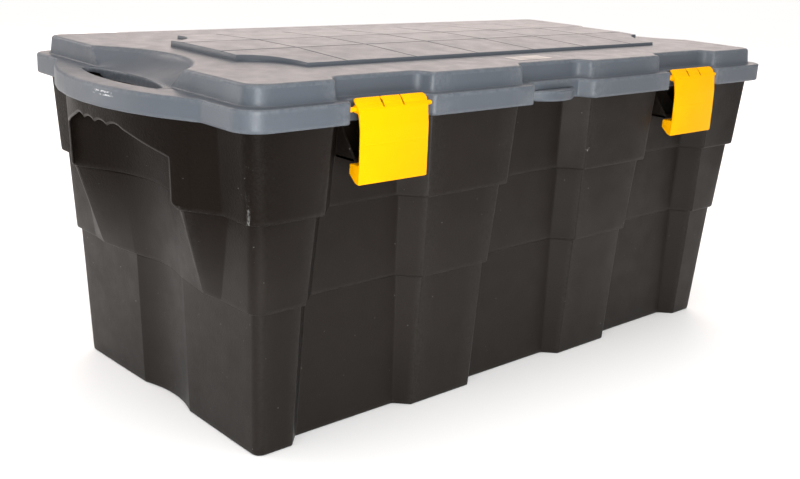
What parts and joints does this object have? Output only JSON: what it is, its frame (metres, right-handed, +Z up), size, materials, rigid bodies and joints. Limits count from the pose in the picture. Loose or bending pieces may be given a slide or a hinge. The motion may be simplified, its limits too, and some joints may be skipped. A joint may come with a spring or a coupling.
{
  "type": "plastic storage trunk",
  "caption": "Long plastic storage trunk: black stepped tub with pilasters and end handles, hinged grey lid with a tiled raised panel, yellow swing latches and a blank label.",
  "frame": {"origin": "middle of the tub's underside, on the surface that it stands on", "axes": "+X along the trunk's length, -Y towards the latches at its front, +Z up"},
  "size_m": [1.1016, 0.5233, 0.4512],
  "materials": {
    "tub_plastic": "moulded near-black polypropylene with fine grain",
    "lid_plastic": "moulded grey polypropylene with fine grain",
    "latch_plastic": "moulded yellow, satin",
    "pin_steel": "drawn rod",
    "label_film": "bare pale film"
  },
  "bodies": {
    "tub": {"tub_floor": "tub_plastic", "tub_front": "tub_plastic", "tub_rear": "tub_plastic", "tub_left_end": "tub_plastic", "tub_right_end": "tub_plastic", "left_hinge_pin": "pin_steel", "right_hinge_pin": "pin_steel"},
    "lid": {"lid": "lid_plastic", "blank_label": "label_film"},
    "left_latch": {"left_latch": "latch_plastic"},
    "right_latch": {"right_latch": "latch_plastic"}
  },
  "joints": [
    {"name": "lid_hinge", "type": "hinge", "parent": "tub", "child": "lid", "pos_m": [0, 0.259, 0.386], "axis": [-1, 0, 0], "range_deg": [0, 105]},
    {"name": "left_latch_pivot", "type": "hinge", "parent": "lid", "child": "left_latch", "pos_m": [-0.3, -0.246, 0.4105], "axis": [-1, 0, 0], "range_deg": [0, 90]},
    {"name": "right_latch_pivot", "type": "hinge", "parent": "lid", "child": "right_latch", "pos_m": [0.3, -0.246, 0.4105], "axis": [-1, 0, 0], "range_deg": [0, 90]}
  ]
}
